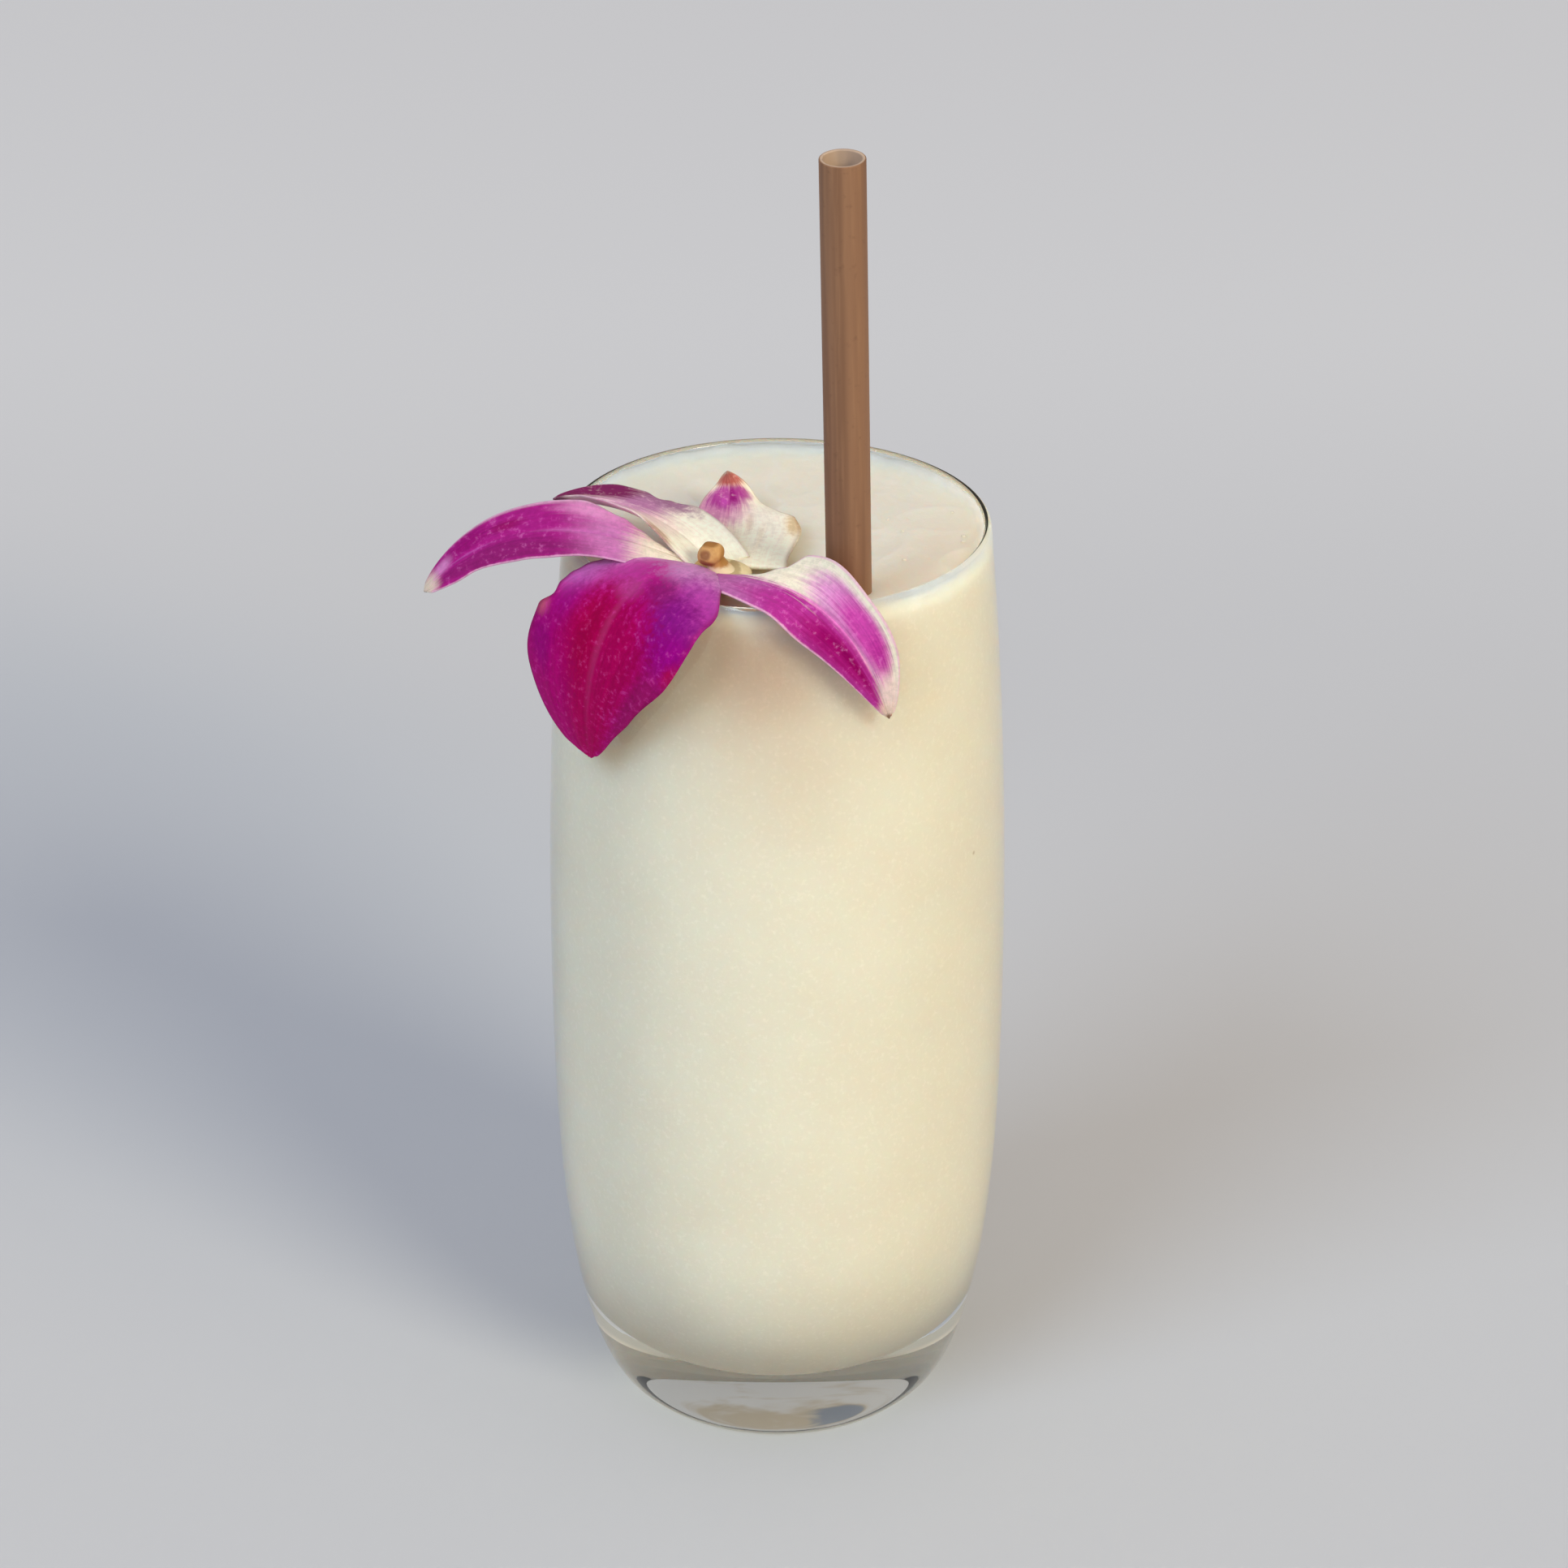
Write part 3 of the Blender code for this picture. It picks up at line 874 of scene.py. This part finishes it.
# layers lie one over the other: colour, centre (along, across), reach (along, across),
# softness, strength and what frays the edge where it isn't the petal's own
petalLayers = {
    "front": [
        ((216, 176, 198), (0, 0), (0.17, 1.3), 0.4, 1, "streak"),
        ((218, 146, 202), (0.25, -0.85), (0.2, 0.5), 0.5, 1),
        ((196, 104, 188), (0.47, -0.74), (0.1, 0.22), 0.6, 0.8),
        ((186, 56, 146), (0.37, -0.35), (0.13, 0.36), 0.6, 0.9),
        ((200, 132, 188), (0.14, 0.45), (0.14, 0.7), 0.5, 0.95),
        ((172, 58, 156), (0.3, 0.75), (0.17, 0.45), 0.5, 0.9),
        ((132, 6, 124), (0.46, 0.62), (0.15, 0.34), 0.6, 0.85),
        ((136, 24, 102), (0.36, 0.28), (0.08, 0.18), 0.7, 0.7),
        ((158, 4, 134), (0.56, 0.88), (0.1, 0.25), 0.6, 0.8),
        ((178, 4, 116), (0.53, 0), (0.12, 0.4), 0.6, 0.9),
        ((170, 0, 82), (0.72, 0.05), (0.26, 0.62), 0.4, 0.95),
        ((162, 0, 68), (0.68, -0.2), (0.2, 0.15), 0.7, 0.8),
        ((172, 0, 84), (0.95, -0.1), (0.15, 0.7), 0.6, 0.8),
        ((150, 18, 94), (0.8, 0.82), (0.15, 0.18), 0.6, 0.85),
        ((190, 10, 64), (0.62, 1), (0.05, 0.12), 0.6, 0.7),
        ((150, 10, 128), (0.6, -0.6), (0.09, 0.12), 0.7, 0.6),
        ((174, 0, 110), (0.86, -0.6), (0.17, 0.3), 0.6, 0.8),
        ((144, 2, 124), (0.76, -0.72), (0.07, 0.13), 0.7, 0.5),
        ((214, 160, 92), (0.615, -0.86), (0.025, 0.06), 0.6, 0.9),
        ((200, 100, 112), (0.66, -0.85), (0.03, 0.1), 0.7, 0.7),
        ((182, 66, 138), (0.42, -0.08), (0.05, 0.16), 0.7, 0.6),
        ((210, 96, 160), (0.6, -0.02), (0.26, 0.035), 0.9, 0.15),
    ],
    "left": [
        ((206, 130, 184), (0.34, 0), (0.12, 1.3), 0.8, 0.85),
        ((228, 152, 200), (0.41, -0.75), (0.13, 0.25), 0.6, 0.8),
        ((246, 230, 206), (0.1, 0), (0.17, 1.4), 0.4, 1.0),
        ((138, 30, 104), (0.73, 0.5), (0.28, 0.32), 0.6, 0.8),
        ((150, 18, 98), (0.71, -0.4), (0.05, 0.18), 0.7, 0.85),
        ((150, 12, 110), (0.83, -0.5), (0.06, 0.4), 0.6, 0.8),
        ((202, 112, 180), (0.45, 0), (0.13, 0.07), 0.7, 0.8),
        ((196, 84, 172), (0.84, 0.04), (0.07, 0.06), 0.7, 0.8),
        ((216, 142, 198), (0.925, -0.28), (0.03, 0.35), 0.7, 0.8),
        ((208, 152, 184), (0.6, -1.0), (0.28, 0.09), 0.6, 0.8),
        ((222, 204, 184), (1.0, 0), (0.05, 1.2), 0.4, 0.95),
    ],
    "right": [
        ((186, 106, 166), (0.12, -0.55), (0.2, 0.7), 0.5, 0.9),
        ((188, 50, 148), (0.42, -0.55), (0.22, 0.35), 0.5, 0.8),
        ((168, 14, 112), (0.72, -0.5), (0.2, 0.36), 0.45, 0.9),
        ((148, 0, 92), (0.79, -0.4), (0.09, 0.12), 0.7, 0.9),
        ((154, 0, 96), (0.67, -0.46), (0.06, 0.1), 0.7, 0.8),
        ((246, 234, 210), (0.45, 0.82), (0.6, 0.86), 0.1, 1.0),
        ((226, 140, 204), (0.67, 0.38), (0.22, 0.42), 0.4, 0.9),
        ((214, 70, 174), (0.73, 0.42), (0.15, 0.32), 0.45, 0.95),
        ((190, 44, 150), (0.81, 0.5), (0.06, 0.22), 0.7, 0.7),
        ((234, 130, 202), (0.6, -0.01), (0.36, 0.06), 0.6, 0.9),
        ((248, 186, 214), (0.84, 0), (0.08, 0.07), 0.6, 0.8),
        ((246, 218, 206), (0.97, 0.5), (0.09, 0.7), 0.4, 0.95),
        ((244, 212, 192), (1.0, 0), (0.045, 1.2), 0.4, 0.95),
        ((140, 92, 60), (1.0, 0), (0.014, 1.0), 0.4, 0.9),
    ],
    "back_left": [
        ((246, 210, 206), (0.48, 0.4), (0.17, 0.7), 0.7, 0.85),
        ((218, 156, 194), (0.74, 0.45), (0.23, 0.75), 0.5, 0.9),
        ((174, 102, 156), (0.62, -0.4), (0.15, 0.36), 0.6, 0.9),
        ((160, 104, 142), (0.54, -0.78), (0.14, 0.26), 0.6, 0.9, "speckle"),
        ((125, 38, 90), (0.86, -0.72), (0.2, 0.56), 0.3, 1.0),
        ((118, 44, 82), (1.0, 0.3), (0.1, 1.1), 0.35, 1.0),
        # painted shade: a tan band in the fold where the left petal lies over this one
        ((178, 142, 118), (0.3, 0.95), (0.1, 0.2), 0.5, 0.8),
    ],
    "back": [
        ((240, 206, 196), (0.34, 0.45), (0.2, 0.5), 0.6, 0.8),
        ((212, 130, 176), (0.55, 0.5), (0.17, 0.8), 0.55, 0.9),
        ((180, 58, 150), (0.73, 0.3), (0.16, 0.65), 0.45, 0.95),
        ((204, 82, 178), (0.67, 0.22), (0.06, 0.12), 0.6, 0.8, "speckle"),
        ((150, 20, 116), (0.76, -0.05), (0.09, 0.1), 0.6, 0.9, "speckle"),
        ((174, 48, 142), (0.8, -0.35), (0.07, 0.25), 0.5, 0.9),
        ((250, 238, 220), (0.48, -0.6), (0.24, 0.32), 0.5, 0.8),
        ((214, 184, 134), (0.42, -0.9), (0.1, 0.12), 0.6, 0.8, "speckle"),
        ((222, 192, 162), (0.26, -0.48), (0.12, 0.045), 0.9, 0.4, "speckle"),
        ((214, 178, 152), (0.4, -0.3), (0.1, 0.04), 0.9, 0.4, "speckle"),
        ((186, 92, 84), (0.94, 0), (0.07, 1.3), 0.5, 0.95),
    ],
}


def bezier(points, along):
    first, second, third, last = (Vector(point) for point in points)
    back = 1 - along
    return (
        first * back**3 + second * 3 * back**2 * along
        + third * 3 * back * along**2 + last * along**3
    )


def easedValue(values, along):
    # the values stand at even steps from base to tip, and each eases into the next
    place = along * (len(values) - 1)
    step = min(int(place), len(values) - 2)
    share = place - step
    return values[step] + (values[step + 1] - values[step]) * share**2 * (3 - 2 * share)


def halfWidth(half, along):
    width, widest, roundness, claw = half["blade"]
    peak = math.log(0.5) / math.log(widest)
    blade = abs(math.sin(math.pi * along**peak)) ** roundness
    claw *= (1 - along) ** 2
    return max(width * (blade * (1 - claw) + claw), petalMake["tipHalfWidth"])


def trimShare(half, along):
    # how much of the width is left there, eased between the places in the trim
    trim = half.get("trim", ((0, 1),))
    for (place, share), (nextPlace, nextShare) in zip(trim, trim[1:]):
        if along < nextPlace:
            way = max(0, (along - place) / (nextPlace - place))
            return share + (nextShare - share) * way**2 * (3 - 2 * way)
    return trim[-1][1]


def rolled(reach, fold, curl):
    # how far out and up a half has gone when it starts at fold and bends by curl
    if abs(curl) < 1e-4:
        return reach * math.cos(fold), reach * math.sin(fold)
    end = fold + curl * reach
    return (math.sin(end) - math.sin(fold)) / curl, (math.cos(fold) - math.cos(end)) / curl


def petalFrame(petal, along):
    # the rib's point there, and the ways across and up
    step = 1e-3
    tangent = bezier(petal["rib"], min(along + step, 1)) - bezier(petal["rib"], max(along - step, 0))
    tangent.normalize()
    heading = Vector(petal["rib"][3]) - Vector(petal["rib"][0])
    level = Vector((-heading.y, heading.x, 0)).normalized()
    sideways = (level - tangent * level.dot(tangent)).normalized()
    sideways = Quaternion(tangent, math.radians(easedValue(petal["lean"], along))) @ sideways
    return bezier(petal["rib"], along), sideways, tangent.cross(sideways)


def petalPoint(petal, along, across):
    here, sideways, upward = petalFrame(petal, along)
    half = petal["left" if across > 0 else "right"]
    width = halfWidth(half, along)
    out, rise = rolled(
        abs(across), math.radians(easedValue(half["fold"], along)),
        math.radians(easedValue(half.get("curl", (0, 0)), along)))
    return here + sideways * math.copysign(out * width, across) + upward * rise * width


def petalRelief(petal, along, across, seed):
    # the groove over the midrib, veins fanning out from it and waves that grow to the margin
    stretch, power, end = petalMake["grooveFade"]
    middle = math.sin(math.pi * min(1, along * stretch)) ** power if along < end else 0
    relief = -petal["groove"] * middle * math.exp(-((across / petalMake["grooveReach"]) ** 2))
    height, fan, run = petalMake["veins"]
    relief += height * noise.noise(Vector((across * fan, along * run, seed)))
    number, power, shift = petalMake["waves"]
    wave = noise.noise(Vector((along * number, seed + (shift if across > 0 else 0), 0)))
    return relief + petal["ripple"] * abs(across) ** power * wave


def petalMesh(petal, seed):
    bm = bmesh.new()
    bmesh.ops.create_grid(
        bm, x_segments=petalMake["stepsAlong"], y_segments=petalMake["stepsAcross"], size=1)
    uv = bm.loops.layers.uv.new("petal")
    body = bm.verts.layers.deform.verify()
    edge = bm.verts.layers.float.new("edge")
    places = {}
    for vert in bm.verts:
        along = 1 - ((1 - vert.co.x) / 2) ** petalMake["tipCrowding"]
        along *= 1 - petalMake["tipPoint"] * vert.co.y**2
        across = vert.co.y
        vert[edge] = abs(across)
        across *= trimShare(petal["left" if across > 0 else "right"], along)
        places[vert] = (along, across)
        vert.co = petalPoint(petal, *places[vert])
    bm.normal_update()
    firstUp = petalFrame(petal, 0.5)[2]
    middle = min(bm.verts, key=lambda vert: abs(places[vert][0] - 0.5) + abs(places[vert][1]))
    if middle.normal.dot(firstUp) < 0:
        bmesh.ops.reverse_faces(bm, faces=bm.faces)
        bm.normal_update()
    for vert, normal in [(vert, vert.normal.copy()) for vert in bm.verts]:
        vert.co += normal * petalRelief(petal, *places[vert], seed)
    for face in bm.faces:
        for loop in face.loops:
            along, across = places[loop.vert]
            loop[uv].uv = (along, across / 2 + 0.5)
    power, steepness = petalMake["marginFade"]
    for vert, (along, _) in places.items():
        vert[body][0] = (1 - vert[edge] ** power) * min(1, (1 - along) * steepness)
    bmesh.ops.translate(bm, vec=(0, 0, rimHeight), verts=bm.verts)
    return bm


def patchGroup():
    # an oval of colour on a petal, with a soft or frayed edge
    group, nodes, given, out = newGroup(
        "petalPatch",
        {"Place": "Vector", "Fray": "Float", "Centre": "Vector", "Reach": "Vector",
         "Softness": "Float", "Strength": "Float"},
        {"Mask": "Float"})
    away = nodes.vectors("SUBTRACT", given["Place"], given["Centre"])
    away = nodes.vectors("LENGTH", nodes.vectors("DIVIDE", away, given["Reach"]))
    away = nodes.frayed(away, nodes.maths("SUBTRACT", given["Fray"], 0.5), petalLook["patchFray"])
    start, end = (nodes.maths(way, 1.0, given["Softness"]) for way in ("ADD", "SUBTRACT"))
    mask = nodes.ranged(away, start, end)
    nodes.plug(out, "Mask", nodes.maths("MULTIPLY", mask, given["Strength"]))
    return group


def petalSkinGroup():
    # where a point lies on the petal, streaks along it, fine speckles and the skin's relief
    look = petalLook
    group, nodes, given, out = newGroup(
        "petalSkin", {"UV": "Vector", "Object": "Vector", "Seed": "Float"},
        {"Place": "Vector", "Streak": "Float", "Speckle": "Float", "Height": "Float"})
    place = nodes.vectors("MULTIPLY_ADD", given["UV"], (1, 2, 0), (0, -1, 0))
    shift = nodes.add("CombineXYZ", Z=given["Seed"]).outputs[0]
    drawn = nodes.vectors("MULTIPLY_ADD", place, look["drawnOut"], shift)
    hairs = nodes.vectors("MULTIPLY_ADD", place, look["hairsDrawnOut"], shift)
    streak = nodes.maths("MULTIPLY", nodes.noise(drawn, *look["streaks"]), 1 - look["hairShare"])
    hair = nodes.noise(hairs, *look["hairs"])
    scale, height = look["cells"]
    cells = nodes.add("TexVoronoi", Vector=given["Object"], Scale=scale).outputs["Distance"]
    nodes.wire(
        out, Place=place, Streak=nodes.frayed(streak, hair, look["hairShare"]),
        Speckle=nodes.noise(given["Object"], *look["speckles"]),
        Height=nodes.frayed(hair, cells, height))
    return group


petalPatch = patchGroup()
petalSkin = petalSkinGroup()


def petalMaterial(name, seed):
    look, colours = petalLook, petalTones[name]
    material, nodes, shader, _ = newMaterial("petalSkin_" + name)
    coordinates = nodes.add("TexCoord")
    skin = nodes.add(
        "Group", {"node_tree": petalSkin}, UV=coordinates.outputs["UV"],
        Object=coordinates.outputs["Object"], Seed=seed).outputs
    streak, speckle = skin["Streak"], skin["Speckle"]
    frays = {
        kind: nodes.ranged(socket, *look["frayRange"], smooth=False)
        for kind, socket in (("streak", streak), ("speckle", speckle))
    }
    colour = colours["base"]
    for over, centre, reach, softness, strength, *fray in petalLayers[name]:
        fray = frays[fray[0] if fray else colours.get("fray", "streak")]
        mask = nodes.add(
            "Group", {"node_tree": petalPatch}, Place=skin["Place"], Fray=fray,
            Centre=(*centre, 0), Reach=(*reach, 1), Softness=softness, Strength=strength)
        colour = nodes.blend(mask.outputs[0], colour, rgb(*over))
    edge = nodes.add("Attribute", {"attribute_name": "edge"}).outputs["Fac"]
    edge = nodes.ranged(nodes.frayed(edge, speckle, look["edgeFray"]), *look["edgeRange"])
    edge = nodes.maths("MULTIPLY", edge, colours["edgeStrength"])
    colour = nodes.blend(edge, colour, colours["edge"])
    flecks, strength = colours["flecks"]
    colour = nodes.layer(colour, speckle, (*look["fleckRange"], strength), flecks)
    darker = nodes.ranged(
        nodes.maths("ADD", speckle, streak), *look["toneRange"], colours["darkest"], look["palest"])
    toned = nodes.add("HueSaturation", Value=darker, Color=colour).outputs[0]
    roughness = nodes.ranged(speckle, *look["roughness"])
    nodes.surface(shader, look, toned, roughness, skin["Height"])
    return material


def makePetals():
    for i, (name, petal) in enumerate(petalShapes.items()):
        material = petalMaterial(name, i * petalLook["seedStep"])
        bm = petalMesh(petal, i * petalMake["seedStep"])
        piece = newPiece(bm, "petal_" + name, material, "orchid_magenta", "orchid")
        piece.vertex_groups.new(name="body")
        solid = piece.modifiers.new("thickness", "SOLIDIFY")
        solid.thickness = petalMake["thickness"] * mm
        solid.offset = 0
        solid.vertex_group = "body"
        solid.thickness_vertex_group = petalMake["marginShare"]


heartShape = {
    "heart": (-8.8, -17.6, -0.1),
    "radii": (5.4, 3.9, 1.5),
    "columnFoot": (-7.0, -18.6, -0.6),
    "columnTop": (-8.9, -18.5, 3.2),
    # radius at shares of the height, from the foot over the neck to the cap
    "outline": ((2.4, -0.1), (2.1, 0.05), (1.75, 0.3), (1.5, 0.55)),
    "capRadius": 2.0,
    "capHeight": 3.3,
    "capSunk": 0.45,  # how much of it lies under the column's top
    "capPowers": (0.8, 0.7),
    "capSteps": (0.12, 1, 28),
    "lumps": (0.22, 0.7),  # height and number
    "mouth": (-0.96, -1.66, 0.48),  # a small dent in the cap, from the cap's middle
    "mouthDepth": 0.3,
    "mouthReach": 0.5,
    "steps": 64,
}

heartLook = {
    "ground": rgb(236, 218, 172),
    "cloud": (500, 4.0, 0.6),
    "clouds": ((0.35, 0.65), rgb(228, 206, 156)),
    "fray": 0.002,  # metres, as are the ranges of its tan end and its painted shade
    "end": ((-0.0072, -0.0092, 0, 0.85), rgb(214, 166, 98)),
    # painted shade: an olive-brown stripe along the right side of the column's foot
    "stripe": ((0.0009, 0.0003, 0, 0.7), rgb(168, 142, 98)),
    "stripePlace": 0.0046,
    "roughness": 0.55,
    "specular": 0.15,
    "softness": (0.2, (1.0, 0.6, 0.3), 0.001),
    "relief": (0.3, 0.0002),
}

columnLook = {
    **heartLook,
    "ground": rgb(212, 164, 104),
    "cloud": (1.3, 4.0, 0.6),
    "clouds": ((0.35, 0.65), rgb(202, 150, 92)),
    # colour, place from the cap's middle, reach (all in mm) and strength
    "marks": (
        ((176, 126, 66), (1.8, -0.6, -0.5), (0.8, 1.6, 1.8), 0.8),
        ((152, 102, 52), (-0.2, 0.0, 1.7), (1.2, 1.3, 0.6), 0.9),
        ((160, 98, 62), (-0.8, -1.6, -1.0), (1.2, 1.2, 0.7), 0.9),
        ((148, 96, 62), (-0.96, -1.66, 0.48), (0.85, 0.85, 0.75), 0.9),
        ((196, 142, 102), (-0.96, -1.66, 0.6), (0.4, 0.4, 0.34), 0.9),
    ),
    "markFray": 0.8,
    "markFade": (1.7, 1.1, 0),
    "neck": ((-0.7, -1.3), rgb(238, 216, 176)),
    "neckFray": 0.9,
    "softness": (0.15, (1.0, 0.6, 0.3), 0.001),
}


def heartMaterial():
    look = heartLook
    material, nodes, shader, _ = newMaterial("orchidHeart")
    place = nodes.objectPlace()
    cloud = nodes.noise(place, *look["cloud"])
    tone = nodes.layer(look["ground"], cloud, *look["clouds"])
    across = nodes.frayed(nodes.split(place)[0], cloud, look["fray"])
    tone = nodes.layer(tone, across, *look["end"])
    # painted shade beside the column
    fromPaintedShade = nodes.maths("ABSOLUTE", nodes.maths("ADD", across, look["stripePlace"]))
    tone = nodes.layer(tone, fromPaintedShade, *look["stripe"])
    nodes.surface(shader, look, tone, look["roughness"], cloud)
    return material


def columnMaterial():
    # the neck is cream, the cap orange-tan with browner marks
    look = columnLook
    material, nodes, shader, _ = newMaterial("orchidColumn")
    top = Vector(heartShape["columnTop"]) + Vector((0, 0, rimHeight))
    local = nodes.placed(nodes.objectPlace(), top * mm, reach=(mm, mm, mm))
    cloud = nodes.noise(local, *look["cloud"])
    tone = nodes.layer(look["ground"], cloud, *look["clouds"])
    for over, centre, reach, strength in look["marks"]:
        away = nodes.frayed(nodes.farFrom(local, centre, reach, unit=1), cloud, look["markFray"])
        tone = nodes.layer(tone, away, (*look["markFade"], strength), rgb(*over))
    height = nodes.frayed(nodes.split(local)[2], cloud, look["neckFray"])
    tone = nodes.layer(tone, height, *look["neck"])
    nodes.surface(shader, look, tone, look["roughness"], cloud)
    return material


def makeHeart():
    shape = heartShape
    bm = bmesh.new()
    bmesh.ops.create_uvsphere(
        bm, u_segments=shape["steps"], v_segments=shape["steps"] // 2, radius=1)
    bmesh.ops.scale(bm, vec=shape["radii"], verts=bm.verts)
    bmesh.ops.translate(bm, vec=Vector(shape["heart"]) + Vector((0, 0, rimHeight)), verts=bm.verts)
    newPiece(bm, "orchid_heart", heartMaterial(), "orchid_magenta", "orchid")


def makeColumn():
    shape = heartShape
    foot, top = Vector(shape["columnFoot"]), Vector(shape["columnTop"])
    length = (top - foot).length
    neck = [(radius, share * length) for radius, share in shape["outline"]]
    capFoot = length - shape["capSunk"] * shape["capHeight"]
    slant, roundness = shape["capPowers"]
    cap = []
    for share in easedSteps(*shape["capSteps"]):
        radius = shape["capRadius"] * math.sin(math.pi * share**slant) ** roundness
        cap.append((radius, capFoot + shape["capHeight"] * share))
    cap[-1] = (0, cap[-1][1])
    bm = spun([(0, neck[0][1])] + neck + cap, shape["steps"])
    laidAlong(bm, top - foot, foot - top)
    mouth = Vector(shape["mouth"])
    height, number = shape["lumps"]
    for vert in bm.verts:
        vert.co += vert.co.normalized() * height * noise.noise(vert.co * number)
        near = math.exp(-((vert.co - mouth).length / shape["mouthReach"]) ** 2)
        vert.co -= mouth.normalized() * shape["mouthDepth"] * near
    bmesh.ops.translate(bm, vec=top + Vector((0, 0, rimHeight)), verts=bm.verts)
    newPiece(bm, "orchid_column", columnMaterial(), "orchid_magenta", "orchid")


makePetals()
makeHeart()
makeColumn()
print("orchid is laid on")
